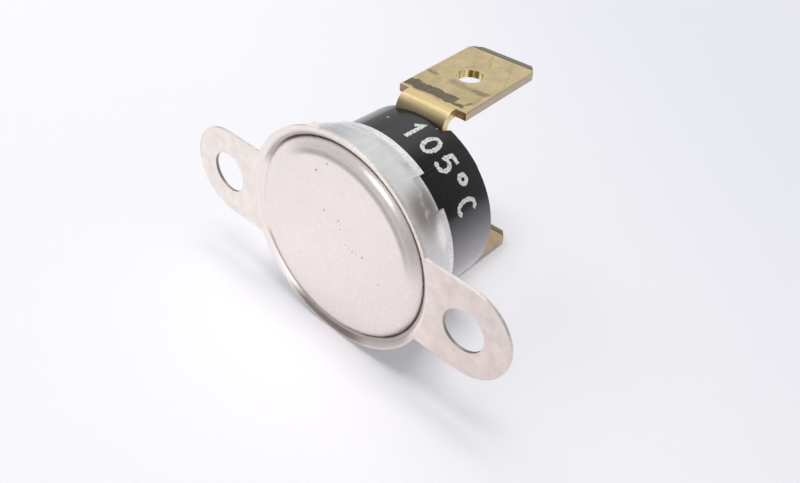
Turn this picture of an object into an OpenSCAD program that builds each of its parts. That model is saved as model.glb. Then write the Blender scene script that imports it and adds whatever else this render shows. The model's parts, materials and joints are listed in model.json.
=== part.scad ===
// Snap-disc bimetal thermostat, normally closed, with a two-hole bracket and push-on tabs.
// The axis of the switch runs along +Y, from the sensing face to the rear. The ears lie along X
// and the terminals along Z. The origin is the centre of the bracket's front plane.
// Each piece is drawn round a +Z axis, with depth z behind that plane, and then laid along +Y.

/* [Bracket] */
// Distance between the two mounting holes
hole_spacing = 23.8; // [22.5:0.1:28]
// Diameter of each mounting hole
hole_d = 3.4; // [2.6:0.1:4.4]
// Width of each ear, whose end is a half circle
ear_w = 7.5; // [6.2:0.1:9]
// Thickness of the bracket's sheet
sheet_t = 0.25; // [0.2:0.05:0.4]
// Outer radius of the drawn edge at the collar's mouth
mouth_r = 0.55; // [0.45:0.05:0.7]
// Width of the flat rim left outside that edge
rim_w = 0.06; // [0.05:0.01:0.5]
// Depth of the collar's rear edge behind the front plane
collar_h = 4.05; // [3.7:0.05:5]
// Length of the straight lip at the collar's rear edge
collar_lip = 0.7; // [0.4:0.05:0.9]
// Length of the steep part of the collar in front of the lip
collar_waist = 0.9; // [0.6:0.05:1.1]
// How far the edge of each crimp tab is set back from the lip
crimp_back = 0.25; // [0.1:0.01:0.6]
// Angle of the middle of each crimp tab from the line of the ears
crimp_at = 47; // [35:1:60]
// Arc that each crimp tab covers
crimp_arc = 20; // [8:1:30]

/* [Cap] */
// Outer diameter of the cap
cap_d = 16.24; // [15.8:0.02:17]
// Thickness of the cap's sheet
cap_t = 0.3; // [0.2:0.05:0.4]
// Radius round the edge of the sensing face
cap_edge_r = 0.9; // [0.5:0.05:1.1]
// How far the sensing face stands in front of the bracket
cap_proud = 0.08; // [0:0.02:0.3]
// Open gap between the cap and the mouth of the collar
cap_gap = 0.19; // [0.1:0.01:0.4]

/* [Bimetal disc] */
// Diameter of the disc
disc_d = 12.7; // [11:0.1:13.2]
// Thickness of the disc
disc_t = 0.2; // [0.1:0.05:0.3]
// Height of its dish
disc_dish = 0.45; // [0.3:0.05:0.6]

/* [Pin and guide] */
// Diameter of the transfer pin
pin_d = 1.6; // [1.2:0.1:2]
// Wall of the boss that guides the pin
guide_wall = 0.55; // [0.4:0.05:0.8]
// Thickness of the guide's clamped flange
guide_flange_t = 0.35; // [0.25:0.05:0.5]
// Diameter of the pocket that centres the guide in the case
pocket_d = 13.2; // [12.6:0.1:13.6]
// Depth of that pocket
pocket_h = 1.1; // [0.9:0.05:1.3]

/* [Case] */
// Diameter of the case behind the collar
case_d = 14.4; // [13.9:0.1:14.8]
// Turn of the case against the ears, as it was crimped, in degrees
case_turn = 2.3; // [-5:0.1:5]
// Depth of the rear face behind the bracket's front plane
case_rear = 9.3; // [8.8:0.1:11]
// Thickness of the rear wall
rear_wall = 2; // [1.4:0.1:2.4]
// Radius of the rear edge
case_edge_r = 0.15; // [0.05:0.05:0.4]
// Diameter of the switch cavity
cavity_d = 11.6; // [11.2:0.1:12.4]
// Length of the taper that the cap is crimped over
taper_h = 1.4; // [1:0.1:1.7]
// Width of the raised band across the rear face
band_w = 10.5; // [7:0.1:12]
// Height of that band
band_h = 0.13; // [0.05:0.01:0.5]
// Depth of the channel that holds the terminals
channel_h = 0.7; // [0.1:0.05:0.9]
// How far each side of the channel leans outwards
channel_draft = 0.3; // [0:0.05:0.6]

/* [Terminals] */
// Width of each tab
tab_w = 6.35; // [5.6:0.05:7]
// Thickness of the terminal strip
tab_t = 0.64; // [0.5:0.02:1]
// Length of each tab from its shoulders
tab_l = 9.4; // [7.5:0.1:11]
// Width of the strip at the neck and under the rivet
neck_w = 4.5; // [4:0.1:5.2]
// Straight neck between the bend and the shoulders
neck_l = 0.3; // [0.05:0.05:0.6]
// Inner radius of the bend
bend_r = 0.55; // [0.05:0.05:0.7]
// How far the tab stands outside the case
tab_overhang = 0.8; // [0.5:0.01:1.5]
// Outward lean of the tab in degrees
tab_lean = 2.8; // [0:0.1:8]
// Diameter of the detent hole
tab_hole_d = 2.1; // [1.4:0.1:2.4]
// Distance of the detent hole from the shoulders
tab_hole_at = 4.5; // [3.5:0.1:5.5]
// Width of the corners cut off the tip
tip_cut_w = 0.8; // [0.4:0.05:1.4]
// Length of the corners cut off the tip
tip_cut_l = 1.05; // [0.4:0.05:1.6]
// Length of the bevel on both faces of the tip
tip_bevel_l = 0.65; // [0.1:0.05:0.8]
// Depth of that bevel
tip_bevel_h = 0.15; // [0.05:0.01:0.22]
// Radius of the sheared roll along both long edges of the outer face
tab_roll = 0.08; // [0.05:0.01:0.3]

/* [Contacts] */
// Depth of the contact arm behind the front of the case
arm_depth = 3.1; // [2.9:0.05:3.4]
// Thickness of the contact arm
arm_t = 0.2; // [0.1:0.05:0.3]
// Width of the contact arm
arm_w = 2.6; // [2.2:0.1:3.4]
// Distance of the contacts from the axis
contact_at = 2.8; // [2.5:0.1:3.1]
// Diameter of both contacts
contact_d = 2; // [1.4:0.1:2.1]
// Height of both contacts
contact_h = 0.4; // [0.2:0.05:0.5]
// Diameter of both contacts' stems
stem_d = 1; // [0.6:0.1:1.2]
// Height of both stems' upset ends
upset_h = 0.2; // [0.1:0.05:0.3]
// Width of the fixed contact bar
bar_w = 2.2; // [2.1:0.1:2.6]
// Thickness of the fixed contact bar
bar_t = 0.5; // [0.3:0.05:0.6]

/* [Rivets] */
// Diameter of each rivet's shank
shank_d = 2; // [1.4:0.1:2.2]
// Diameter of each rivet's head on the rear face
head_d = 3.8; // [3:0.1:4.2]
// Height of that head
head_h = 0.7; // [0.4:0.05:1]
// Diameter of each rivet's upset end inside the case
clench_d = 2.8; // [2.4:0.1:3]
// Height of that upset end
clench_h = 0.5; // [0.3:0.05:0.6]

/* [Hidden] */
$fn = 96;

// Clearance between pieces that are clamped or crimped together
fit = 0.02;
// Radial clearance of a shank or the pin in its hole
hole_fit = 0.03;
// Room round pieces that must not touch
room = 0.05;
// Room between the collar's waist and the cap's skirt
waist_room = 0.3;
// Room between the case and the front and rear of the collar's lip
lip_room = 0.4;
rear_room = 0.3;
// Room round the edge of the disc
disc_room = 0.2;
// How far a cut runs on past the face that it leaves
past = 1;
// How far flat sheet runs on into a bend, which makes them one piece
bend_lap = 0.05;
// Facets of the disc's large arcs
arc_fn = 1440;

// Radii round the axis
cap_r = cap_d / 2;
cap_in_r = cap_r - cap_t;
mouth_in_r = cap_r + cap_gap;
mouth_flat_r = mouth_in_r + mouth_r;
rim_r = mouth_flat_r + rim_w;
case_r = case_d / 2;
flange_r = cap_in_r - fit;
disc_r = disc_d / 2;
pocket_r = pocket_d / 2;
cavity_r = cavity_d / 2;
pin_r = pin_d / 2;
boss_r = pin_r + hole_fit + guide_wall;

// Room in front of the disc's crown and behind its rim
disc_play = 0.08;
// How far the disc's seat reaches in from its edge
seat_w = 1.1;
// Room for the disc's crown when it snaps back
snap_room = 0.15;
// Straight edge of the case's flange in front of its taper
flange_land = 0.1;
// How far the cap's skirt stops short of the end of that taper
skirt_short = 0.1;
// How far the arm and the fixed bar reach past their contacts
arm_margin = 0.3;
bar_margin = 0.2;

// Depths behind the bracket's front plane, from the cap to the rear
cap_in_z = cap_t - cap_proud;
crown_z = cap_in_z + disc_play;
seat_z = crown_z + disc_t + disc_dish + fit;
case_z = seat_z + guide_flange_t;
recess_z = seat_z + disc_dish + snap_room;
pocket_z = case_z + pocket_h;
taper_z = case_z + flange_land;
taper_end_z = taper_z + taper_h;
arm_z = case_z + arm_depth;
arm_seat_z = arm_z + arm_t;
contact_z = arm_z - contact_h;
bar_z = contact_z - fit - contact_h - bar_t;
boss_z = bar_z - room;
pin_z = crown_z + disc_t + room;
floor_z = case_rear - rear_wall;
foot_z = floor_z - bar_t;
channel_z = case_rear - channel_h;
head_z = channel_z + tab_t;
collar_lip_z = collar_h - collar_lip;
collar_waist_z = collar_lip_z - collar_waist;

// Skirt of the cap, which narrows behind the flange of the case
crimp_slope = (flange_r - case_r) / taper_h;
skirt_end_z = taper_end_z - skirt_short;
function skirt_r(z) = cap_r - crimp_slope * (z - taper_z);

// Inner radii of the collar at its waist, its lip and its rear edge
collar_waist_r = skirt_r(collar_waist_z) + waist_room;
collar_lip_r = case_r + lip_room;
collar_rear_r = case_r + rear_room;

// Places across the switch: the bar's riser, both rivets, the arm's tip and the edge that it bends over
riser_out = sqrt(cavity_r * cavity_r - bar_w * bar_w / 4) - room;
riser_in = riser_out - bar_t;
rivet_at = riser_in - room - clench_d / 2;
arm_edge = rivet_at - clench_d / 2 - 2 * room;
arm_tip = contact_at + contact_d / 2 + arm_margin;

// Terminal bend: its outer radius and centre, seen from the side
bend_out_r = bend_r + tab_t;
bend_y = case_r + tab_overhang - bend_out_r;
bend_z = channel_z + bend_out_r;
channel_w = neck_w + 2 * room;

// Lays a piece drawn round +Z along +Y, with its -Y side up
module laid() {
    rotate([-90, 0, 0])
        children();
}

// The same for what is turned with the case
module laid_with_case() {
    laid()
        rotate([0, 0, -case_turn])
            children();
}

// Extrudes a side outline, drawn as depth over height, across the width w
module across(w) {
    rotate([90, 0, 90])
        linear_extrude(w, center = true)
            children();
}

// Half outline of a cup from z0 to z1, with a rounded corner at z0
module cup_outline(r, z0, z1, corner) {
    translate([0, z0 + corner])
        square([r, z1 - z0 - corner]);
    translate([0, z0])
        square([r - corner, corner + fit]);
    translate([r - corner, z0 + corner])
        circle(corner);
}

// Piece of a corner that lies outside a round of radius r
module corner_waste(r) {
    difference() {
        translate([-r, -r])
            square(2 * r);
        translate([-r, r])
            circle(r);
    }
}

// Wall of the collar through the inner points given, from front to rear
module wall_outline(inner) {
    outer = [for (i = [len(inner) - 1 : -1 : 0]) [inner[i][0] + sheet_t, inner[i][1]]];
    polygon(concat(inner, outer));
}

// Drawn mouth, where the flat sheet bends into the collar, and the collar's cone
module cone_outline() {
    translate([mouth_flat_r, mouth_r])
        intersection() {
            difference() {
                circle(mouth_r);
                circle(mouth_r - sheet_t);
            }
            translate([-mouth_r, -mouth_r])
                square(mouth_r);
        }
    wall_outline([[mouth_in_r, mouth_r - bend_lap], [cap_r + room, taper_z],
        [collar_waist_r, collar_waist_z]]);
}

// Lip of the collar, straight at its rear edge
module lip_outline() {
    wall_outline([[collar_waist_r, collar_waist_z], [collar_lip_r, collar_lip_z],
        [collar_rear_r, collar_h]]);
}

// Crimp tab, pressed in from the waist until its edge meets the case
module crimp_outline() {
    wall_outline([[collar_waist_r, collar_waist_z], [case_r + room, collar_h - crimp_back]]);
}

// Flat ears and rim, with the mounting holes
module ear_outline() {
    difference() {
        union() {
            circle(rim_r);
            square([hole_spacing, ear_w], center = true);
            for (side = [-1, 1])
                translate([side * hole_spacing / 2, 0])
                    circle(d = ear_w);
        }
        circle(mouth_flat_r - bend_lap);
        for (side = [-1, 1])
            translate([side * hole_spacing / 2, 0])
                circle(d = hole_d);
    }
}

// Wedge of the collar behind its waist that one crimp tab takes up
module crimp_sector(angle) {
    reach = 2 * rim_r;
    from = angle - crimp_arc / 2;
    to = angle + crimp_arc / 2;
    translate([0, 0, collar_waist_z])
        linear_extrude(collar_h)
            polygon([[0, 0], reach * [cos(from), sin(from)], reach * [cos(to), sin(to)]]);
}

module crimp_sectors() {
    for (angle = [crimp_at, 180 - crimp_at, 180 + crimp_at, -crimp_at])
        crimp_sector(angle);
}

module bracket() {
    color([0.80, 0.77, 0.73])
        laid() {
            linear_extrude(sheet_t)
                ear_outline();
            rotate_extrude()
                cone_outline();
            difference() {
                rotate_extrude()
                    lip_outline();
                crimp_sectors();
            }
            intersection() {
                rotate_extrude()
                    crimp_outline();
                crimp_sectors();
            }
        }
}

// Cup with its skirt crimped inwards behind the flange of the case
module cap() {
    color([0.86, 0.83, 0.82])
        laid()
            rotate_extrude() {
                difference() {
                    cup_outline(cap_r, -cap_proud, taper_z, cap_edge_r);
                    cup_outline(cap_in_r, cap_in_z, taper_z + past, cap_edge_r - cap_t);
                }
                polygon([[cap_in_r, taper_z], [cap_r, taper_z], [skirt_r(skirt_end_z), skirt_end_z],
                    [skirt_r(skirt_end_z) - cap_t, skirt_end_z]]);
            }
}

// Shallow dish, its crown towards the cap
module bimetal_disc() {
    dish_r = (disc_r * disc_r + disc_dish * disc_dish) / (2 * disc_dish);
    color([0.70, 0.66, 0.58])
        laid_with_case()
            rotate_extrude()
                intersection() {
                    translate([0, crown_z + disc_t + dish_r])
                        difference() {
                            circle(dish_r + disc_t, $fn = arc_fn);
                            circle(dish_r, $fn = arc_fn);
                        }
                    translate([0, crown_z - disc_t])
                        square([disc_r, seat_z - fit - crown_z + disc_t]);
                }
}

// Plate that seats the disc, centres in the case and guides the pin
module pin_guide() {
    rim_in = disc_r + disc_room;
    rim_out = cap_r - cap_edge_r - room;
    flange_out = cap_in_r - room;
    bore_r = pin_r + hole_fit;
    color([0.35, 0.22, 0.14])
        laid_with_case()
            rotate_extrude()
                polygon([[bore_r, recess_z], [disc_r - seat_w, recess_z], [disc_r - seat_w, seat_z],
                    [rim_in, seat_z], [rim_in, cap_in_z], [rim_out, cap_in_z], [rim_out, seat_z],
                    [flange_out, seat_z], [flange_out, case_z], [pocket_r - fit, case_z],
                    [pocket_r - fit, pocket_z], [boss_r, pocket_z], [boss_r, boss_z], [bore_r, boss_z]]);
}

// Half of the pin from its middle, with a dome at its end
module pin_half(half_l) {
    intersection() {
        square([pin_r, half_l]);
        translate([0, half_l - pin_d])
            circle(pin_d);
    }
    square([pin_r, half_l - pin_d]);
}

// Ceramic pin with a dome at both ends
module transfer_pin() {
    half_l = (arm_z - fit - pin_z) / 2;
    color([0.93, 0.92, 0.88])
        laid_with_case()
            translate([0, 0, pin_z + half_l])
                rotate_extrude() {
                    pin_half(half_l);
                    mirror([0, 1])
                        pin_half(half_l);
                }
}

// Outside of the case and the pocket and cavity in its front
module case_shell() {
    rotate_extrude()
        difference() {
            polygon([[0, case_z], [flange_r, case_z], [flange_r, taper_z],
                [case_r, taper_end_z], [case_r, case_rear], [0, case_rear]]);
            translate([case_r, case_rear])
                mirror([0, 1])
                    corner_waste(case_edge_r);
            translate([0, case_z - past])
                square([pocket_r, pocket_h + past]);
            translate([0, case_z])
                square([cavity_r, floor_z - case_z]);
        }
}

// Ledge in the cavity that carries the root of the contact arm
module arm_seat() {
    intersection() {
        translate([0, 0, arm_seat_z])
            cylinder(r = cavity_r + room, h = floor_z - arm_seat_z);
        translate([-cavity_r, -2 * cavity_r - arm_edge, 0])
            cube([2 * cavity_r, 2 * cavity_r, case_rear]);
    }
}

// Rear face left as a raised band with a channel along it
module rear_face_cuts() {
    span = 2 * case_d;
    half = channel_w / 2;
    open_half = half + 2 * channel_draft;
    open_z = channel_z + 2 * channel_h;
    rotate([90, 0, 0])
        linear_extrude(span, center = true)
            polygon([[-half, channel_z], [half, channel_z], [open_half, open_z], [-open_half, open_z]]);
    for (side = [0, 180])
        rotate([0, 0, side])
            translate([band_w / 2, -span / 2, case_rear - band_h])
                cube([span, span, 2 * band_h]);
}

module case() {
    color([0.09, 0.09, 0.09])
        laid_with_case()
            difference() {
                union() {
                    case_shell();
                    arm_seat();
                }
                rear_face_cuts();
                for (side = [-1, 1])
                    translate([0, side * rivet_at, case_z])
                        cylinder(r = shank_d / 2 + hole_fit, h = case_rear);
            }
}

// Leaf spring, held at its root and bent over the edge of its seat
module contact_arm() {
    color([0.75, 0.52, 0.30])
        laid_with_case()
            translate([0, 0, arm_z])
                linear_extrude(arm_t)
                    difference() {
                        union() {
                            translate([-arm_w / 2, -rivet_at])
                                square([arm_w, rivet_at + arm_tip - arm_w / 2]);
                            translate([0, -rivet_at])
                                circle(d = arm_w + 2 * room);
                            translate([0, arm_tip - arm_w / 2])
                                circle(d = arm_w);
                        }
                        translate([0, -rivet_at])
                            circle(shank_d / 2 + hole_fit);
                        translate([0, contact_at])
                            circle(stem_d / 2 + fit);
                    }
}

// Contact button with its stem through a strip of thickness t and its end upset behind
module contact_button(t) {
    upset_d = (contact_d + stem_d) / 2;
    rotate_extrude()
        polygon([[0, 0], [contact_d / 2 - room, 0], [contact_d / 2, room], [contact_d / 2, contact_h],
            [stem_d / 2, contact_h], [stem_d / 2, contact_h + t], [upset_d / 2, contact_h + t],
            [upset_d / 2, contact_h + t + upset_h], [0, contact_h + t + upset_h]]);
}

module moving_contact() {
    color([0.85, 0.85, 0.86])
        laid_with_case()
            translate([0, contact_at, contact_z])
                contact_button(arm_t);
}

module fixed_contact() {
    color([0.85, 0.85, 0.86])
        laid_with_case()
            translate([0, contact_at, contact_z - fit])
                mirror([0, 0, 1])
                    contact_button(bar_t);
}

// Folded strip that carries the fixed contact in front of the arm's tip
module fixed_bar() {
    overhang = contact_at - contact_d / 2 - bar_margin;
    foot_end = rivet_at - clench_d / 2;
    color([0.78, 0.68, 0.42])
        laid_with_case()
            difference() {
                across(bar_w)
                    polygon([[overhang, bar_z], [riser_out, bar_z], [riser_out, floor_z],
                        [foot_end, floor_z], [foot_end, foot_z], [riser_in, foot_z],
                        [riser_in, bar_z + bar_t], [overhang, bar_z + bar_t]]);
                translate([0, contact_at, bar_z - past])
                    cylinder(d = stem_d + 2 * fit, h = bar_t + 2 * past);
                translate([0, rivet_at, foot_z - past])
                    cylinder(d = shank_d + 2 * hole_fit, h = bar_t + 2 * past);
            }
}

// Rivet from its upset end at depth z to its round head on the terminal
module rivet(z) {
    dome_r = (head_d * head_d / 4 + head_h * head_h) / (2 * head_h);
    color([0.80, 0.74, 0.60])
        laid_with_case()
            translate([0, rivet_at, 0])
                rotate_extrude() {
                    translate([0, z - clench_h])
                        square([clench_d / 2, clench_h]);
                    translate([0, z - fit])
                        square([shank_d / 2, head_z - z + 2 * fit]);
                    intersection() {
                        translate([0, head_z])
                            square([head_d / 2, head_h]);
                        translate([0, head_z + head_h - dome_r])
                            circle(dome_r);
                    }
                }
}

module upper_rivet() {
    rotate([0, 180, 0])
        rivet(arm_z);
}

module lower_rivet() {
    rivet(foot_z);
}

// Tab outline from the end of the bend, with its shoulders, cut corners and detent hole
module tab_outline() {
    half = tab_w / 2;
    tip = neck_l + tab_l;
    right = [[neck_w / 2, -bend_lap], [neck_w / 2, neck_l], [half, neck_l],
        [half, tip - tip_cut_l], [half - tip_cut_w, tip]];
    left = [for (i = [len(right) - 1 : -1 : 0]) [-right[i][0], right[i][1]]];
    difference() {
        polygon(concat(right, left));
        translate([0, neck_l + tab_hole_at])
            circle(d = tab_hole_d);
    }
}

// Cross-section of the tab, with the roll of the shear along its outer corners
module tab_section() {
    difference() {
        translate([-tab_w / 2, -tab_t])
            square([tab_w, tab_t]);
        for (side = [0, 1])
            mirror([side, 0])
                translate([tab_w / 2, 0])
                    mirror([0, 1])
                        corner_waste(tab_roll);
    }
}

// Tab with its long edges rolled and its tip bevelled on both faces, its outer face on y = 0
module tab() {
    tip = neck_l + tab_l;
    intersection() {
        rotate([90, 0, 0])
            linear_extrude(tab_t)
                tab_outline();
        translate([0, 0, -bend_lap])
            linear_extrude(tip + bend_lap)
                tab_section();
        across(2 * tab_w)
            polygon([[0, -bend_lap], [0, tip - tip_bevel_l], [-tip_bevel_h, tip],
                [tip_bevel_h - tab_t, tip], [-tab_t, tip - tip_bevel_l], [-tab_t, -bend_lap]]);
    }
}

// Quarter bend from the strip on the rear face to the leaning tab
module bend_outline() {
    reach = 2 * bend_out_r;
    translate([bend_y, bend_z])
        intersection() {
            difference() {
                circle(bend_out_r);
                circle(bend_r);
            }
            polygon([[0, 0], [0, -reach], [reach, -reach], reach * [cos(tab_lean), -sin(tab_lean)]]);
        }
}

// Strip on the rear face, round under the rivet
module strip_outline() {
    difference() {
        union() {
            translate([-neck_w / 2, rivet_at])
                square([neck_w, bend_y - rivet_at + bend_lap]);
            translate([0, rivet_at])
                circle(d = neck_w);
        }
        translate([0, rivet_at])
            circle(shank_d / 2 + hole_fit);
    }
}

// One folded brass strip: riveted foot, bend, neck and tab
module terminal() {
    color([0.74, 0.62, 0.34])
        laid_with_case() {
            translate([0, 0, channel_z])
                linear_extrude(tab_t)
                    strip_outline();
            across(neck_w)
                bend_outline();
            translate([0, bend_y + bend_out_r * cos(tab_lean), bend_z - bend_out_r * sin(tab_lean)])
                rotate([-tab_lean, 0, 0])
                    tab();
        }
}

module upper_terminal() {
    rotate([0, 180, 0])
        terminal();
}

module lower_terminal() {
    terminal();
}

bracket();
cap();
bimetal_disc();
pin_guide();
transfer_pin();
case();
contact_arm();
moving_contact();
fixed_bar();
fixed_contact();
upper_rivet();
lower_rivet();
upper_terminal();
lower_terminal();
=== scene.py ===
import json
import math

import bpy
from mathutils import Matrix, Vector


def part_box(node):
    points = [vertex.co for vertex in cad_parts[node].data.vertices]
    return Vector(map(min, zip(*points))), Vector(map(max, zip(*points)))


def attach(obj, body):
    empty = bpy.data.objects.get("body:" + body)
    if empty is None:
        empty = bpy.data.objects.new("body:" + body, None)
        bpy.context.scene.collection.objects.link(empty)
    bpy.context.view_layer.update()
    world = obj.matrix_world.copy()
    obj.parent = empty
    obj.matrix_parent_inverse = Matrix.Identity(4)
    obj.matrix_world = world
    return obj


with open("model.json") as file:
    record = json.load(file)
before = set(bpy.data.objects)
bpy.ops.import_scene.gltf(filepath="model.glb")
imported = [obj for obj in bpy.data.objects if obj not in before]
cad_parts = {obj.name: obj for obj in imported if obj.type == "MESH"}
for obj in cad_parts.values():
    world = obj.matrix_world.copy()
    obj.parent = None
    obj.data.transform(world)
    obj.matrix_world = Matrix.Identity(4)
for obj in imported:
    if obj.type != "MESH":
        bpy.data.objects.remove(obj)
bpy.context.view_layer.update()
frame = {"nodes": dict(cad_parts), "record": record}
nodes = frame["nodes"]
scene = bpy.context.scene
MM = 0.001

# Sizes of the frame that the looks are placed by, in mm
ears = next(mount["dims"] for mount in frame["record"]["mounts"] if mount["name"] == "flange_holes")
EAR_HOLE_X = ears["spacing_x_mm"] / 2
EAR_HOLE_R = ears["hole_r_mm"]
COLLAR_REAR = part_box("bracket")[1][1] / MM
RIM_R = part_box("bracket")[1][2] / MM
CAP_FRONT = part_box("cap")[0][1] / MM
CAP_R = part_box("cap")[1][0] / MM

# Sizes that the frame doesn't give, as in the part's source, in mm
CAP_EDGE_R = 0.9
CAP_FLAT_R = CAP_R - CAP_EDGE_R
CASE_R = 7.2
CASE_TURN = math.radians(2.3)
SHEET_T = 0.25
MOUTH_R = 8.31
SHOULDER_Y = 10.03
NECK_HALF = 2.25
TAB_L = 9.4
HOLE_AT = 4.5
HOLE_R = 1.05

# Directions round the axis that the looks are placed by
LEFT = (-1, 0, 0)
UPPER = (0.34, 0, 0.94)
LOWER = (-0.087, 0, -0.996)
LOWER_RIGHT = (0.57, 0, -0.82)


class Graph:
    """A node tree, with short names for the sums that the looks need."""

    def __init__(self, tree):
        self.tree = tree

    def node(self, kind, **settings):
        made = self.tree.nodes.new(kind)
        for key, value in settings.items():
            setattr(made, key, value)
        return made

    def link(self, value, socket):
        if isinstance(value, bpy.types.NodeSocket):
            self.tree.links.new(value, socket)
        elif hasattr(value, "__len__") and len(value) == 3 and socket.type == "RGBA":
            socket.default_value = (*value, 1)
        else:
            socket.default_value = value

    def split(self, vector):
        made = self.node("ShaderNodeSeparateXYZ")
        self.link(vector, made.inputs[0])
        return made.outputs

    def vector(self, operation, a, b=None, scale=None):
        made = self.node("ShaderNodeVectorMath", operation=operation)
        self.link(a, made.inputs[0])
        if b is not None:
            self.link(b, made.inputs[1])
        if scale is not None:
            self.link(scale, made.inputs["Scale"])
        return made.outputs["Value" if operation in ("DISTANCE", "DOT_PRODUCT", "LENGTH") else "Vector"]

    def math(self, operation, a, b=0.0, c=0.0):
        made = self.node("ShaderNodeMath", operation=operation)
        for value, socket in zip((a, b, c), made.inputs):
            self.link(value, socket)
        return made.outputs[0]

    def product(self, *values):
        result = values[0]
        for value in values[1:]:
            result = self.math("MULTIPLY", result, value)
        return result

    def most(self, *values):
        result = values[0]
        for value in values[1:]:
            result = self.math("MAXIMUM", result, value)
        return result

    def step(self, value, low, high):
        """0 below low and 1 above high, smooth between; falls if low is the larger."""
        made = self.node("ShaderNodeMapRange", interpolation_type="SMOOTHSTEP")
        self.link(value, made.inputs["Value"])
        self.link(low, made.inputs["From Min"])
        self.link(high, made.inputs["From Max"])
        return made.outputs["Result"]

    def span(self, value, low, high, soft):
        """1 between low and high."""
        rising = self.step(value, low - soft, low + soft)
        falling = self.step(value, high + soft, high - soft)
        return self.product(rising, falling)

    def scaled(self, value, low, high):
        """A 0 to 1 value spread over low to high."""
        return self.math("MULTIPLY_ADD", value, high - low, low)

    def flip(self, value):
        return self.math("SUBTRACT", 1.0, value)

    def blend(self, share, a, b):
        """The number a where the share is 0, and b where it is 1."""
        return self.math("ADD", self.product(a, self.flip(share)), self.product(b, share))


class Shader(Graph):
    """A material, with places measured in mm in the part's frame."""

    def __init__(self, name, **sockets):
        self.material = bpy.data.materials.new(name)
        self.material.use_nodes = True
        super().__init__(self.material.node_tree)
        self.bsdf = self.tree.nodes["Principled BSDF"]
        for socket, value in sockets.items():
            self.set(socket.replace("_", " "), value)
        self.place = self.vector("SCALE", self.node("ShaderNodeTexCoord").outputs["Object"], scale=1 / MM)
        self.x, self.y, self.z = self.split(self.place)

    def set(self, socket, value):
        self.link(value, self.bsdf.inputs[socket])

    def off_axis(self):
        """Place with its part along the axis of the switch left out."""
        return self.vector("MULTIPLY", self.place, (1, 0, 1))

    def axis_distance(self):
        return self.vector("LENGTH", self.off_axis())

    def noise(self, scale, detail=3.0, stretch=(1, 1, 1), shift=(0, 0, 0), rough=0.55):
        moved = self.vector("ADD", self.vector("MULTIPLY", self.place, stretch), shift)
        made = self.node("ShaderNodeTexNoise")
        self.link(moved, made.inputs["Vector"])
        self.link(scale, made.inputs["Scale"])
        self.link(detail, made.inputs["Detail"])
        self.link(rough, made.inputs["Roughness"])
        return made.outputs[0]

    def mix(self, share, a, b):
        """The colour a where the share is 0, and b where it is 1."""
        made = self.node("ShaderNodeMix", data_type="RGBA")
        self.link(share, made.inputs[0])
        self.link(a, made.inputs[6])
        self.link(b, made.inputs[7])
        return made.outputs[2]

    def near(self, point, radius, soft):
        """1 inside a ball round a point."""
        return self.step(self.vector("DISTANCE", self.place, point), radius + soft, radius - soft)

    def normal(self):
        return self.node("ShaderNodeNewGeometry").outputs["Normal"]

    def relief(self, height, depth, edge=0.0):
        """Bump of that depth in mm, over edges rounded by the given radius in mm."""
        bump = self.node("ShaderNodeBump")
        self.link(height, bump.inputs["Height"])
        self.link(depth * MM, bump.inputs["Distance"])
        if edge:
            bevel = self.node("ShaderNodeBevel", samples=6)
            self.link(edge * MM, bevel.inputs["Radius"])
            self.link(bevel.outputs[0], bump.inputs["Normal"])
        self.set("Normal", bump.outputs[0])


class TabShader(Shader):
    """A terminal's brass, with places on the tab from its middle line and from its shoulders."""

    def __init__(self, name):
        super().__init__(name, Metallic=1.0)
        self.across = self.math("MULTIPLY_ADD", self.z, math.sin(CASE_TURN), self.x)
        self.along = self.math("SUBTRACT", self.y, SHOULDER_Y)
        # The same places, moved to and fro for the ragged edges of marks
        blot = self.noise(1.7, 5, stretch=(0.8, 1.2, 1), shift=(1, 4, 0), rough=0.65)
        ragged = self.math("SUBTRACT", blot, 0.5)
        self.ragged_across = self.math("MULTIPLY_ADD", ragged, 1.1, self.across)
        self.ragged_along = self.math("MULTIPLY_ADD", ragged, 0.9, self.along)

    def patch(self, u0, u1, v0, v1, soft):
        """Ragged mark between two places across the tab and two along it."""
        between_sides = self.span(self.ragged_across, u0, u1, soft)
        return self.product(between_sides, self.span(self.ragged_along, v0, v1, soft))

    def line(self, u0, v0, u1, v1, width):
        """Thin mark from one place on the tab to another."""
        length = math.hypot(u1 - u0, v1 - v0)
        du, dv = (u1 - u0) / length, (v1 - v0) / length
        from_v = self.math("SUBTRACT", self.along, v0)
        off = self.math("ADD", self.product(self.math("SUBTRACT", self.ragged_across, u0), dv),
                        self.product(from_v, -du))
        down = self.math("ADD", self.product(self.math("SUBTRACT", self.across, u0), du),
                         self.product(from_v, dv))
        beside = self.step(self.math("ABSOLUTE", off), width, 0.3 * width)
        return self.product(beside, self.span(down, 0.1, length - 0.1, 0.1))


def dress(material, *names):
    for name in names:
        nodes[name].data.materials.clear()
        nodes[name].data.materials.append(material)


# Row of small pits across the sensing face: x, z and radius in mm
PITS = [(-1.04, 2.49, 0.07), (0.37, 2.34, 0.08), (0.62, 1.72, 0.05), (1.15, 0.62, 0.05), (1.55, 0.5, 0.045),
        (1.86, 0.42, 0.06), (2.25, 0.42, 0.045), (2.83, 0.49, 0.085), (4.5, -0.96, 0.06),
        (-3.58, -3.06, 0.05), (-1.89, 5.46, 0.09), (-0.84, 6.49, 0.08)]
PIT_SOFT = 0.03


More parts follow.
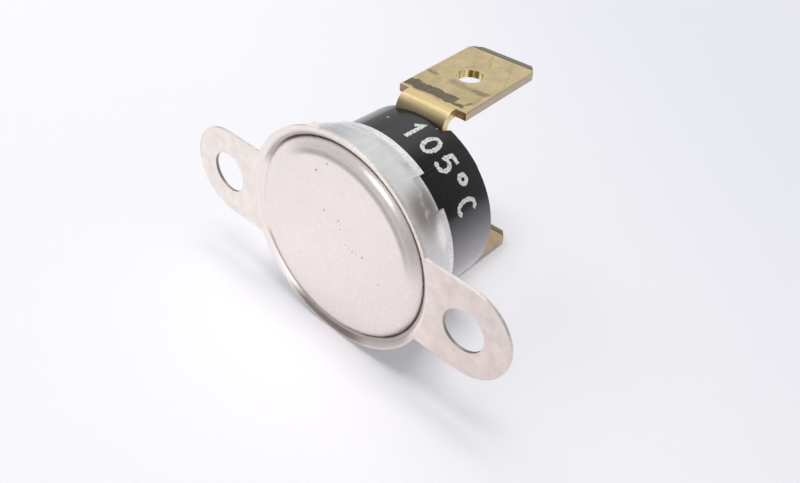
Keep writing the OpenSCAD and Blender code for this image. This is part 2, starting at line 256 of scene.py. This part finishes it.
def cap_material():
    s = Shader("cap_drawn_sheet", Metallic=1.0)
    grain = s.noise(9, 4)
    cloud = s.noise(0.5, 3, shift=(3, 0, 1))
    tone = s.mix(cloud, (0.85, 0.775, 0.75), (0.925, 0.85, 0.825))
    # Darker towards the lower right
    toward_lower_right = s.step(s.vector("DOT_PRODUCT", s.place, (0.7, 0, -0.7)), -2.0, 6.0)
    tone = s.mix(toward_lower_right, tone, (0.81, 0.735, 0.715))
    # The face rolls off a little before its rounded edge, as a bump. The rounded edge and a band just inside
    # it are painted darker above and to the right: painted shade.
    radius = s.axis_distance()
    roll = s.step(radius, CAP_FLAT_R - 0.45, CAP_FLAT_R + 0.1)
    drawn = s.step(radius, CAP_FLAT_R, CAP_FLAT_R + 0.4)
    outward = s.vector("NORMALIZE", s.place)
    upper = s.step(s.vector("DOT_PRODUCT", outward, UPPER), 0.4, 0.8)
    shade = s.mix(s.step(s.split(outward)[0], 0.5, 0.95), (0.62, 0.59, 0.565), (0.46, 0.42, 0.41))
    mottle = s.scaled(s.noise(4, 5, shift=(1, 1, 1)), 0.75, 1.15)
    tone = s.mix(s.product(drawn, upper, mottle), tone, shade)
    band = s.span(radius, CAP_FLAT_R - 0.3, CAP_FLAT_R + 0.2, 0.2)
    tone = s.mix(s.product(band, upper, mottle, 0.95), tone, (0.42, 0.39, 0.375))
    pitted = s.most(*[s.near((x, CAP_FRONT, z), r, PIT_SOFT) for x, z, r in PITS])
    s.set("Base Color", s.mix(s.product(pitted, 0.8), tone, (0.30, 0.26, 0.25)))
    s.set("Roughness", s.scaled(s.noise(3, 3, shift=(0, 5, 0)), 0.22, 0.36))
    height = s.math("MULTIPLY_ADD", pitted, -4.0, s.product(grain, 0.4))
    s.relief(s.math("MULTIPLY_ADD", roll, -1.5, height), 0.012)
    return s.material


# Marks on the collar where it was crimped: place, radius and softness in mm
CRIMP_BEIGE = ((6.4, 2.2, 4.3), 2.6, 1.6)
CRIMP_BROWN = ((6.1, 2.0, 5.4), 1.5, 1.0)
CRIMP_PALE = ((7.35, 3.1, 3.6), 0.9, 0.5)


def bracket_material():
    s = Shader("bracket_plated_sheet", Metallic=1.0)
    normal = s.normal()
    outward = s.vector("NORMALIZE", s.off_axis())
    radius = s.axis_distance()
    n_y = s.math("ABSOLUTE", s.split(normal)[1])
    flat = s.step(n_y, 0.9, 0.97)
    sheet = s.step(s.y, SHEET_T + 0.25, SHEET_T + 0.1)
    edge = s.product(sheet, s.step(n_y, 0.4, 0.2))
    lip = s.step(s.math("MULTIPLY_ADD", s.noise(1.6, 4), 0.3, s.y), COLLAR_REAR - 0.62, COLLAR_REAR - 0.3)
    grain = s.noise(7, 5)
    cloud = s.step(s.noise(0.9, 5, shift=(7, 0, 2)), 0.2, 0.8)
    streak = s.noise(2.2, 4, stretch=(1, 0.12, 1), shift=(0, 3, 0))
    # Dull flat sheet, darker on the right ear as painted shade, a smoother collar and its pale lip
    left_ear = s.mix(cloud, (0.85, 0.775, 0.73), (0.99, 0.925, 0.87))
    right_ear = s.mix(cloud, (0.70, 0.61, 0.58), (0.84, 0.75, 0.71))
    dull = s.mix(s.step(s.x, 4.0, 11.0), left_ear, right_ear)
    drawn = s.mix(streak, (0.56, 0.57, 0.575), (0.79, 0.785, 0.775))
    tone = s.mix(sheet, drawn, dull)
    tone = s.mix(lip, tone, s.mix(s.step(grain, 0.4, 0.6), (0.76, 0.74, 0.735), (0.97, 0.955, 0.955)))
    # Sheared edges, pale outside and painted dark in the holes as painted shade
    sheared = s.mix(s.noise(5, 4, stretch=(1, 0.2, 1)), (0.58, 0.53, 0.49), (0.95, 0.92, 0.89))
    holes = s.most(*[s.near((x, SHEET_T / 2, 0), EAR_HOLE_R + 0.07, 0.03) for x in (-EAR_HOLE_X, EAR_HOLE_X)])
    tone = s.mix(edge, tone, s.mix(holes, sheared, (0.40, 0.365, 0.33)))
    # Painted light: the inside of the mouth is bright against the shade of the gap
    inside = s.step(s.vector("DOT_PRODUCT", normal, outward), -0.1, -0.4)
    tone = s.mix(s.product(inside, s.step(radius, RIM_R + 0.08, RIM_R - 0.02)), tone, (0.93, 0.86, 0.83))
    # Painted shade low on the rim: dark brown, paler and greyer to its right, lighter outwards
    rim = s.product(sheet, s.step(radius, MOUTH_R, MOUTH_R + 0.1), s.step(radius, RIM_R + 0.08, RIM_R - 0.32))
    right = s.step(s.vector("DOT_PRODUCT", outward, LOWER_RIGHT), 0.8, 0.95)
    tone = s.mix(s.product(rim, right), tone, (0.52, 0.47, 0.44))
    low = s.step(s.vector("DOT_PRODUCT", outward, LOWER), 0.84, 0.97)
    tone = s.mix(s.product(rim, low), tone, (0.21, 0.18, 0.165))
    # Beige, dark brown and pale patches where the sheet was crimped
    collar = s.flip(sheet)
    tone = s.mix(s.product(s.near(*CRIMP_BEIGE), collar, 0.5), tone, (0.62, 0.56, 0.52))
    blotchy = s.step(s.noise(1.5, 4, shift=(1, 1, 1)), 0.15, 0.45)
    tone = s.mix(s.product(s.near(*CRIMP_BROWN), blotchy, collar, 0.9), tone, (0.20, 0.17, 0.155))
    tone = s.mix(s.product(s.near(*CRIMP_PALE), 0.8), tone, (0.92, 0.87, 0.87))
    s.set("Base Color", tone)
    rough = s.scaled(s.noise(2.5, 3, shift=(0, 9, 0)), 0.36, 0.56)
    s.set("Roughness", s.blend(s.most(sheet, lip), s.scaled(streak, 0.2, 0.34), rough))
    grained = s.product(grain, s.scaled(flat, 0.35, 0.6))
    s.relief(s.math("MULTIPLY_ADD", streak, 0.5, grained), 0.015, edge=0.05)
    return s.material


# Faint mould lines along the case's wall, in degrees round the axis
MOULD_LINES = (58.0, 54.7)
# Small pale chips: place, radius and softness in mm
CHIPS = [((-1.72, 6.87, 6.99), 0.1, 0.05), ((1.69, 8.35, 7.0), 0.06, 0.02)]


def case_material():
    s = Shader("case_phenolic", Metallic=0.0)
    cloud = s.noise(0.45, 4)
    speck = s.noise(11, 2)
    tone = s.mix(cloud, (0.008, 0.008, 0.008), (0.017, 0.0175, 0.0165))
    tone = s.mix(s.product(s.step(speck, 0.72, 0.78), 0.35), tone, (0.11, 0.11, 0.105))
    # Painted reflection: the lower half of the wall is pale, as the floor's sheen on the black moulding
    wall = s.step(s.math("ABSOLUTE", s.split(s.normal())[1]), 0.6, 0.3)
    tone = s.mix(s.product(wall, s.step(s.z, 4.0, -1.0)), tone, (0.45, 0.428, 0.46))
    angle = s.math("ARCTAN2", s.z, s.x)
    away = [s.math("ABSOLUTE", s.math("SUBTRACT", angle, math.radians(degrees))) for degrees in MOULD_LINES]
    line = s.most(*[s.step(a, 0.009, 0.003) for a in away])
    tone = s.mix(s.product(line, 0.3), tone, (0.05, 0.05, 0.05))
    chip = s.most(*[s.near(*place) for place in CHIPS])
    s.set("Base Color", s.mix(chip, tone, (0.55, 0.55, 0.53)))
    s.set("Roughness", s.scaled(s.noise(1.7, 4, shift=(4, 4, 4)), 0.09, 0.2))
    s.relief(s.math("ADD", s.noise(2.6, 3, shift=(2, 0, 2)), s.product(line, 0.5)), 0.004, edge=0.06)
    return s.material


def brass_material(name, worn):
    s = TabShader(name)
    on_tab = s.step(s.along, -0.1, 0.25)
    grain = s.noise(6, 4, stretch=(1, 0.3, 1))
    cloud = s.noise(0.8, 4, shift=(2, 2, 0))
    # Clouded face of the tab with red and olive patches; the lower tab is painted darker and browner as
    # painted shade
    face = s.mix(s.step(cloud, 0.25, 0.75), (0.53, 0.435, 0.24), (0.69, 0.55, 0.315))
    red = s.step(s.noise(1.4, 4, shift=(8, 1, 0)), 0.5, 0.7)
    face = s.mix(s.product(red, 0.5), face, (0.60, 0.43, 0.29))
    olive = s.step(s.noise(1.1, 4, shift=(2, 7, 0)), 0.5, 0.68)
    face = s.mix(s.product(olive, 0.55), face, (0.50, 0.445, 0.205))
    if not worn:
        face = s.mix(0.62, face, (0.30, 0.21, 0.14))
    # Brighter in the bend as painted highlight, and streaked
    drawn = s.step(s.noise(2.4, 4, stretch=(0.06, 1, 1), shift=(3, 5, 1)), 0.3, 0.7)
    bright = s.mix(s.blend(0.6, grain, drawn), (0.62, 0.46, 0.21), (0.95, 0.77, 0.44))
    tone = s.mix(on_tab, bright, face)
    # Sheared faces: pale along the sides, brown at the shoulders, dark at the tip, bright in the hole
    n_x, n_y, n_z = s.split(s.normal())
    tone = s.mix(s.product(on_tab, s.step(s.math("ABSOLUTE", n_x), 0.6, 0.85)), tone, (0.52, 0.43, 0.32))
    shoulder = s.product(s.step(n_y, -0.6, -0.8), s.step(s.along, 0.4, 0.2))
    outer = s.step(s.math("ABSOLUTE", s.across), NECK_HALF - 0.01, NECK_HALF + 0.07)
    tone = s.mix(s.product(shoulder, outer), tone, (0.42, 0.31, 0.22))
    # The front of the bend, next to the case, is painted dark: painted shade
    front_of_bend = s.product(s.flip(on_tab), s.flip(outer), s.step(n_y, -0.4, -0.95))
    tone = s.mix(front_of_bend, tone, (0.20, 0.16, 0.10))
    tone = s.mix(s.step(s.along, TAB_L - 0.9, TAB_L - 0.74), tone, (0.13, 0.11, 0.055))
    past_hole = s.math("SUBTRACT", s.along, HOLE_AT)
    off_hole = s.math("SQRT", s.math("ADD", s.product(s.across, s.across), s.product(past_hole, past_hole)))
    upright = s.step(s.math("ABSOLUTE", n_z), 0.7, 0.4)
    in_hole = s.product(s.step(off_hole, HOLE_R + 0.06, HOLE_R + 0.02), upright)
    stripes = s.step(s.noise(1.6, 2, stretch=(2.5, 1, 0.05), shift=(4, 0, 0)), 0.46, 0.54)
    tone = s.mix(in_hole, tone, s.mix(stripes, (0.42, 0.30, 0.12), (0.92, 0.74, 0.36)))
    stain = s.product(s.step(s.noise(1.1, 4, stretch=(1, 0.5, 1), shift=(5, 1, 3)), 0.58, 0.72), on_tab)
    tone = s.mix(s.product(stain, 0.3), tone, (0.30, 0.255, 0.15))
    if worn:
        tone = tab_marks(s, tone)
    s.set("Base Color", tone)
    s.set("Roughness", s.scaled(s.noise(2, 3, shift=(0, 2, 6)), 0.26, 0.42))
    s.relief(grain, 0.006, edge=0.05)
    return s.material


def tab_marks(s, tone):
    """Scratches towards the tip, smudges before the hole and a dark smear next to the shoulders."""
    scratch = s.most(s.line(-0.8, 8.4, 0.45, 6.3, 0.07), s.line(1.0, 8.6, 3.0, 4.9, 0.05))
    tone = s.mix(s.product(scratch, 0.5), tone, (0.27, 0.225, 0.14))
    smudge = s.most(s.product(s.patch(-3.05, -1.9, 2.9, 3.2, 0.14), 0.75),
                    s.product(s.patch(-0.8, 2.2, 2.6, 3.25, 0.25), 0.45),
                    s.product(s.patch(1.5, 2.75, 2.65, 3.25, 0.14), 0.65))
    tone = s.mix(smudge, tone, (0.16, 0.135, 0.095))
    smear = s.most(s.patch(-3.1, 1.65, 0.3, 1.35, 0.07), s.patch(1.3, 2.5, 0.3, 0.65, 0.06),
                   s.line(2.2, 0.55, 2.75, 1.5, 0.16))
    depth = s.scaled(s.noise(3, 4, shift=(6, 0, 0)), 0.7, 1.0)
    return s.mix(s.product(smear, depth), tone, (0.105, 0.085, 0.06))


def plain_metal(name, low, high, rough, stretch=(1, 1, 1)):
    """Rolled or headed metal with a fine grain."""
    s = Shader(name, Metallic=1.0)
    grain = s.noise(6, 4, stretch=stretch)
    s.set("Base Color", s.mix(s.noise(1.2, 4, shift=(1, 2, 3)), low, high))
    s.set("Roughness", s.scaled(grain, rough - 0.06, rough + 0.08))
    s.relief(grain, 0.006, edge=0.03)
    return s.material


def plain_body(name, low, high, rough):
    """Moulded or fired body with a faint mottle."""
    s = Shader(name, Metallic=0.0)
    s.set("Base Color", s.mix(s.noise(1.5, 5), low, high))
    s.set("Roughness", s.scaled(s.noise(4, 3, shift=(2, 0, 0)), rough - 0.08, rough + 0.08))
    s.relief(s.noise(8, 3), 0.006, edge=0.03)
    return s.material


dress(cap_material(), "cap")
dress(bracket_material(), "bracket")
dress(case_material(), "case")
dress(brass_material("upper_terminal_brass", True), "upper_terminal")
dress(brass_material("lower_terminal_brass", False), "lower_terminal")
dress(plain_metal("rivet_brass", (0.60, 0.52, 0.34), (0.74, 0.66, 0.46), 0.34), "upper_rivet", "lower_rivet")
dress(plain_metal("bar_brass", (0.66, 0.54, 0.30), (0.78, 0.66, 0.40), 0.3), "fixed_bar")
dress(plain_metal("spring_bronze", (0.64, 0.42, 0.24), (0.76, 0.52, 0.32), 0.28, (1, 1, 0.2)), "contact_arm")
dress(plain_metal("contact_silver", (0.80, 0.80, 0.80), (0.90, 0.90, 0.90), 0.24),
      "moving_contact", "fixed_contact")
dress(plain_metal("bimetal_strip", (0.54, 0.50, 0.45), (0.66, 0.62, 0.56), 0.3, (0.2, 1, 1)), "bimetal_disc")
dress(plain_body("guide_moulding", (0.19, 0.11, 0.065), (0.28, 0.175, 0.11), 0.42), "pin_guide")
dress(plain_body("pin_ceramic", (0.84, 0.83, 0.79), (0.92, 0.91, 0.87), 0.5), "transfer_pin")


def polar(radius, turn, y):
    """Place in mm, at an angle round the axis of the switch."""
    return Vector((radius * math.cos(turn), y, radius * math.sin(turn)))


def loft(sections, closed):
    """Corners and faces of a solid through a row of sections, each a loop of places in mm."""
    sides = len(sections[0])
    count = len(sections)
    faces = []
    for i in range(count if closed else count - 1):
        a, b = sides * i, sides * ((i + 1) % count)
        faces += [(a + k, a + (k + 1) % sides, b + (k + 1) % sides, b + k) for k in range(sides)]
    if not closed:
        last = sides * (count - 1)
        faces += [tuple(range(sides - 1, -1, -1)), tuple(range(last, last + sides))]
    return [place for section in sections for place in section], faces


def add_piece(name, lofts, material):
    """Object of one or more lofts."""
    verts, faces = [], []
    for places, loops in lofts:
        base = len(verts)
        verts += [place * MM for place in places]
        faces += [tuple(base + k for k in loop) for loop in loops]
    mesh = bpy.data.meshes.new(name)
    mesh.from_pydata(verts, [], faces)
    mesh.validate()
    mesh.materials.append(material)
    made = bpy.data.objects.new(name, mesh)
    scene.collection.objects.link(made)
    return made


def arc(cx, cy, rx, ry, start, end, steps):
    """Points along part of an ellipse, angles in degrees."""
    turns = [math.radians(start + (end - start) * i / steps) for i in range(steps + 1)]
    return [(cx + rx * math.cos(t), cy + ry * math.sin(t)) for t in turns]


# Printed temperature: stroke of each sign in mm, with its foot at 0, and whether the stroke closes
SIGNS = [
    ([(0.16, 1.52), (0.62, 2.0), (0.62, 0.0)], False),
    (arc(0.58, 1.0, 0.46, 0.86, 0, 360, 32)[:-1], True),
    ([(1.02, 1.9), (0.3, 1.9), (0.2, 1.08)] + arc(0.52, 0.68, 0.5, 0.56, 110, -140, 22), False),
    (arc(0.42, 1.58, 0.33, 0.33, 0, 360, 20)[:-1], True),
    (arc(0.62, 1.0, 0.5, 0.88, 48, 312, 28), False),
]
SIGN_PITCH = math.radians(13.5)
FIRST_SIGN = math.radians(87.5)
SIGN_FOOT = 5.75
STROKE_HALF = 0.165
STROKE_STEP = 0.12
INK_OUT = 0.012
INK_IN = 0.03


def dense_points(points, closed):
    """The same stroke with points at short steps."""
    dense = []
    for i in range(len(points) if closed else len(points) - 1):
        a, b = Vector(points[i]), Vector(points[(i + 1) % len(points)])
        parts = max(1, round((b - a).length / STROKE_STEP))
        dense += [a.lerp(b, k / parts) for k in range(parts)]
    if not closed:
        dense.append(Vector(points[-1]))
    return dense


def stroke_edges(points, closed):
    """Both edges of a stroke along the points, a little uneven as printed."""
    edges = []
    for i, p in enumerate(points):
        before = points[i - 1] if closed or i else p
        after = points[(i + 1) % len(points)] if closed or i + 1 < len(points) else p
        into, out = p - before, after - p
        into = into.normalized() if into.length else out.normalized()
        out = out.normalized() if out.length else into
        along = (into + out).normalized()
        side = Vector((-along.y, along.x)) / max(0.6, along.dot(out))
        uneven = 1 + 0.16 * math.sin(9.1 * p.x + 3.7 * p.y + 2.3 * i) + 0.1 * math.sin(23 * p.y - 11 * p.x)
        edges.append((p + side * STROKE_HALF * uneven, p - side * STROKE_HALF * uneven))
    return edges


def sign_loft(number, points, closed):
    """Strokes of one sign, wrapped round the case and sunk a little in its wall."""
    first = FIRST_SIGN - number * SIGN_PITCH

    def on_case(point, radius):
        return polar(radius, first - point.x / CASE_R, SIGN_FOOT + point.y)

    outer, inner = CASE_R + INK_OUT, CASE_R - INK_IN
    sections = [(on_case(left, outer), on_case(right, outer), on_case(right, inner), on_case(left, inner))
                for left, right in stroke_edges(dense_points(points, closed), closed)]
    return loft(sections, closed)


def ink_material():
    s = Shader("print_ink", Metallic=0.0)
    worn = s.step(s.noise(6.5, 4), 0.5, 0.66)
    s.set("Base Color", s.mix(s.product(worn, 0.75), (0.84, 0.85, 0.86), (0.22, 0.23, 0.24)))
    s.set("Roughness", s.scaled(worn, 0.5, 0.68))
    s.relief(s.noise(9, 3), 0.006)
    return s.material


signs = [sign_loft(number, *sign) for number, sign in enumerate(SIGNS)]
ink = add_piece("printed_temperature", signs, ink_material())
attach(ink, "body")

# Ring that fills the gap round the cap and stands in for its shade: radius and depth of its ring in mm, and
# where it fills the left side
GAP_FILL_BACK = [(8.34, 0.7), (8.09, 0.7)]
GAP_FILL = [(8.03, 0.52), (8.12, 0.46), (8.24, 0.37), (8.39, 0.29), (8.4, 0.5)] + GAP_FILL_BACK
GAP_FILL_LEFT = [(7.85, 0.24), (8.0, 0.19), (8.2, 0.16), (8.45, 0.17), (8.45, 0.5)] + GAP_FILL_BACK
GAP_FILL_STEPS = 180
GAP_SHADE_R = 8.23
# How far to the left the filling starts, as a share of the radius, and how soon it is full
FILL_FROM = 0.84
FILL_OVER = 0.12


def gap_fill_section(turn):
    filled = min(1, max(0, (-math.cos(turn) - FILL_FROM) / FILL_OVER))
    profile = [Vector(plain).lerp(Vector(left), filled) for plain, left in zip(GAP_FILL, GAP_FILL_LEFT)]
    return [polar(radius, turn, depth) for radius, depth in profile]


def gap_shade_material():
    s = Shader("gap_shade_fill")
    # Painted shade: dark against the cap and paler behind, but for the left side, which takes the sheet's
    # bright metal
    uneven = s.math("MULTIPLY_ADD", s.noise(1.5, 5), 0.12, s.axis_distance())
    leftward = s.vector("DOT_PRODUCT", s.vector("NORMALIZE", s.place), LEFT)
    dark = s.product(s.step(uneven, GAP_SHADE_R + 0.06, GAP_SHADE_R - 0.06), s.step(leftward, 0.9, 0.6))
    bright_left = s.step(leftward, 0.85, 0.95)
    tone = s.mix(dark, (0.80, 0.74, 0.70), (0.10, 0.085, 0.075))
    s.set("Base Color", s.mix(bright_left, tone, (0.92, 0.85, 0.82)))
    s.set("Metallic", bright_left)
    s.set("Roughness", s.math("MULTIPLY_ADD", bright_left, -0.5, s.scaled(s.noise(6, 3), 0.75, 0.95)))
    s.relief(s.noise(9, 4), 0.03)
    return s.material


ring = [gap_fill_section(2 * math.pi * step / GAP_FILL_STEPS) for step in range(GAP_FILL_STEPS)]
gap_fill = add_piece("gap_shade_fill", [loft(ring, True)], gap_shade_material())
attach(gap_fill, "body")

# Torn burr that stands up from the top of the rim: angle round the axis in degrees and height in mm
BURR = [(110.2, 0.0), (109.0, 0.1), (107.8, 0.13), (106.6, 0.22), (105.6, 0.3), (104.6, 0.36), (103.8, 0.3),
        (103.2, 0.34), (102.6, 0.16), (102.0, 0.0)]
BURR_FOOT_R = RIM_R - 0.05
BURR_LEAN = 0.3


def burr_section(degrees, height):
    """Thin at the top and wider at the foot, leaning back with its height."""
    lean = BURR_LEAN * height
    top = RIM_R + height
    profile = [(BURR_FOOT_R, 0.06), (top, 0.1 + lean), (top, 0.14 + lean), (BURR_FOOT_R, 0.2)]
    return [polar(radius, math.radians(degrees), depth) for radius, depth in profile]


torn = loft([burr_section(degrees, height) for degrees, height in BURR], False)
burr = add_piece("rim_burr", [torn], nodes["bracket"].data.materials[0])
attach(burr, "body")

# Floor, tilted so that the rim and the lower tab both rest on it: height and half width in mm, and its slope
FLOOR_Z = -8.93
FLOOR_HALF = 300
FLOOR_TILT = 0.0253
FLOOR_GLOW = 0.15


def floor_material():
    s = Shader("pale_floor", Roughness=0.9)
    # Painted shade: darker away to the right; the glow is only for what the camera and the mirror images show
    right = s.step(s.math("MULTIPLY_ADD", s.x, 0.7, s.y), -10.0, 75.0)
    tone = s.mix(right, (0.945, 0.937, 0.97), (0.825, 0.83, 0.885))
    s.set("Base Color", tone)
    s.set("Emission Color", tone)
    rays = s.node("ShaderNodeLightPath").outputs
    seen = s.most(rays["Is Camera Ray"], rays["Is Glossy Ray"], rays["Is Transmission Ray"])
    s.set("Emission Strength", s.product(seen, FLOOR_GLOW))
    return s.material


corners = [(FLOOR_HALF * i, FLOOR_HALF * j) for i, j in ((-1, -1), (1, -1), (1, 1), (-1, 1))]
plane = [Vector((x, y, FLOOR_Z + y * FLOOR_TILT)) for x, y in corners]
floor = add_piece("floor", [(plane, [(0, 1, 2, 3)])], floor_material())

# Lamps aim at the middle of the part; places and sizes in metres
AIM = Vector((0, 0.005, 0))


def softbox(name, direction, distance, size, power, mirrored=True, lights=True):
    """Square lamp that looks at the part from a direction."""
    lamp = bpy.data.lights.new(name, "AREA")
    lamp.size = size
    lamp.energy = power
    made = bpy.data.objects.new(name, lamp)
    scene.collection.objects.link(made)
    toward = Vector(direction).normalized()
    made.location = AIM + toward * distance
    made.rotation_euler = (-toward).to_track_quat("-Z", "Y").to_euler()
    made.visible_glossy = mirrored
    made.visible_diffuse = lights


softbox("key", (0.01, -0.03, 1.0), distance=0.8, size=0.36, power=2.9)
softbox("left", (-0.62, 0.1, 0.78), distance=0.3, size=0.14, power=0.13, mirrored=False)
softbox("front", (0.14, -0.8, 0.57), distance=0.3, size=0.12, power=0.13, lights=False)

# Plain surroundings; mirror images show a dark side behind on the right and a greyer one in front
WORLD_TONE = (0.985, 0.985, 1.0)
DIFFUSE_LEVEL = 0.31
CAMERA_LEVEL = 0.97
BEHIND_LOSS = 0.88
FRONT_LOSS = 0.1


def surroundings(tree):
    w = Graph(tree)
    x, y, z = w.split(w.node("ShaderNodeTexCoord").outputs["Generated"])
    side = w.most(w.step(x, -0.25, 0.2), w.product(w.step(z, 0.65, 0.3), 0.55))
    behind = w.product(side, w.span(y, 0.25, 0.72, 0.08), w.step(z, -0.12, 0.0))
    front = w.product(w.step(y, -0.45, -0.7), w.step(z, -0.2, 0.0))
    mirror_level = w.product(w.scaled(behind, 1.0, 1.0 - BEHIND_LOSS), w.scaled(front, 1.0, 1.0 - FRONT_LOSS))
    rays = w.node("ShaderNodeLightPath").outputs
    glossy = w.most(rays["Is Glossy Ray"], rays["Is Transmission Ray"])
    level = w.blend(glossy, DIFFUSE_LEVEL, mirror_level)
    background = tree.nodes["Background"]
    w.link(WORLD_TONE, background.inputs["Color"])
    w.link(w.blend(rays["Is Camera Ray"], level, CAMERA_LEVEL), background.inputs["Strength"])


world = bpy.data.worlds.new("studio")
scene.world = world
world.use_nodes = True
surroundings(world.node_tree)

# Camera at the photograph's viewing angle: place in mm, its own right and back, and its lens in pixels
CAMERA_AT = (28.82, -29.34, 34.91)
CAMERA_RIGHT = (0.7375, 0.6709, 0.077)
CAMERA_BACK = (0.4632, -0.5855, 0.6653)
PICTURE_W = 800
FOCAL_PX = 744.4
CENTRE_PX = (-6.79, 23.96)
SENSOR_W = 36

lens = bpy.data.cameras.new("camera")
lens.sensor_fit = "HORIZONTAL"
lens.sensor_width = SENSOR_W
lens.lens = SENSOR_W * FOCAL_PX / PICTURE_W
lens.shift_x = -CENTRE_PX[0] / PICTURE_W
lens.shift_y = CENTRE_PX[1] / PICTURE_W
lens.clip_start = 0.001
lens.clip_end = 10
camera = bpy.data.objects.new("camera", lens)
scene.collection.objects.link(camera)
right = Vector(CAMERA_RIGHT).normalized()
back = Vector(CAMERA_BACK)
back = (back - right * back.dot(right)).normalized()
turned = Matrix((right, back.cross(right), back)).transposed()
camera.matrix_world = Matrix.Translation(Vector(CAMERA_AT) * MM) @ turned.to_4x4()
scene.camera = camera

scene.view_settings.view_transform = "Standard"
